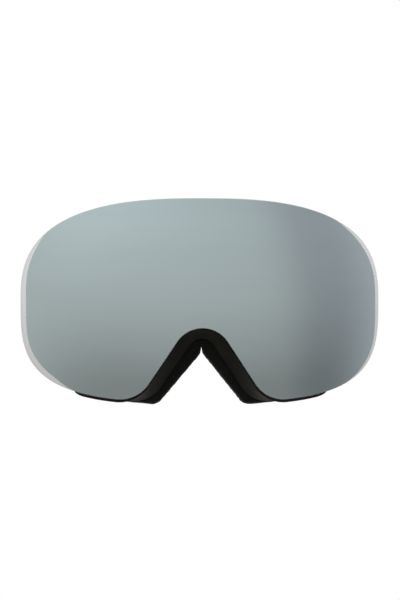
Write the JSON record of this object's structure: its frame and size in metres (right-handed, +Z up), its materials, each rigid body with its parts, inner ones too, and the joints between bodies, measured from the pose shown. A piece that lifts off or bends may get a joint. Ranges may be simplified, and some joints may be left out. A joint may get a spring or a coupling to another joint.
{
  "type": "ski goggles",
  "caption": "Frameless ski goggles: wide toric mirrored double lens that lifts off a vented frame with face foam, hinged strap arms and an elastic strap with sliders.",
  "frame": {"origin": "middle of the face side, where the brow meets the fleece, level with the lens's half height", "axes": "+Z up, +Y back towards the wearer, +X to the right as seen from the front"},
  "size_m": [0.184, 0.252, 0.1036],
  "materials": {
    "mirror_lens": "silver mirror coating on clear polycarbonate",
    "inner_lens": "clear, lightly tinted",
    "spacer_foam": "closed-cell foam",
    "hard_plastic": "fine moulded grain",
    "magnet": "nickel plated",
    "soft_frame": "satin soft plastic",
    "filter_foam": "open-cell foam",
    "face_foam": "open-cell foam",
    "fleece": "short brushed pile",
    "strap_webbing": "woven elastic",
    "silicone": "smooth silicone",
    "pin_steel": "bright"
  },
  "bodies": {
    "frame": {"frame": "soft_frame", "frame_magnets": "magnet", "top_vent_filter": "filter_foam", "lower_vent_filters": "filter_foam", "face_foam_base": "face_foam", "face_foam_comfort": "face_foam", "face_fleece": "fleece", "left_hinge_bracket": "hard_plastic", "right_hinge_bracket": "hard_plastic", "left_hinge_pin": "pin_steel", "right_hinge_pin": "pin_steel", "left_strap_run": "strap_webbing", "right_strap_run": "strap_webbing", "rear_strap": "strap_webbing", "left_strap_return": "strap_webbing", "right_strap_return": "strap_webbing", "strap_grip": "silicone"},
    "lens": {"outer_lens": "mirror_lens", "inner_lens": "inner_lens", "lens_gasket": "spacer_foam", "lens_carrier": "hard_plastic", "lens_magnets": "magnet"},
    "left_outrigger": {"left_outrigger": "hard_plastic", "left_strap_fold": "strap_webbing"},
    "left_adjuster": {"left_adjuster": "hard_plastic", "left_sewn_loop": "strap_webbing"},
    "right_outrigger": {"right_outrigger": "hard_plastic", "right_strap_fold": "strap_webbing"},
    "right_adjuster": {"right_adjuster": "hard_plastic", "right_sewn_loop": "strap_webbing"}
  },
  "joints": [
    {"name": "lens_pull", "type": "slide", "parent": "frame", "child": "lens", "axis": [0, -1, 0], "range_m": [0, 0.08]},
    {"name": "left_outrigger_hinge", "type": "hinge", "parent": "frame", "child": "left_outrigger", "pos_m": [-0.0824, 0.03002, 0], "axis": [0, 0, 1], "range_deg": [-4, 25]},
    {"name": "right_outrigger_hinge", "type": "hinge", "parent": "frame", "child": "right_outrigger", "pos_m": [0.0824, 0.03002, 0], "axis": [0, 0, -1], "range_deg": [-4, 25]},
    {"name": "left_adjuster_slide", "type": "slide", "parent": "frame", "child": "left_adjuster", "axis": [0, 1, 0], "range_m": [0, 0.036]},
    {"name": "right_adjuster_slide", "type": "slide", "parent": "frame", "child": "right_adjuster", "axis": [0, 1, 0], "range_m": [0, 0.036]}
  ]
}
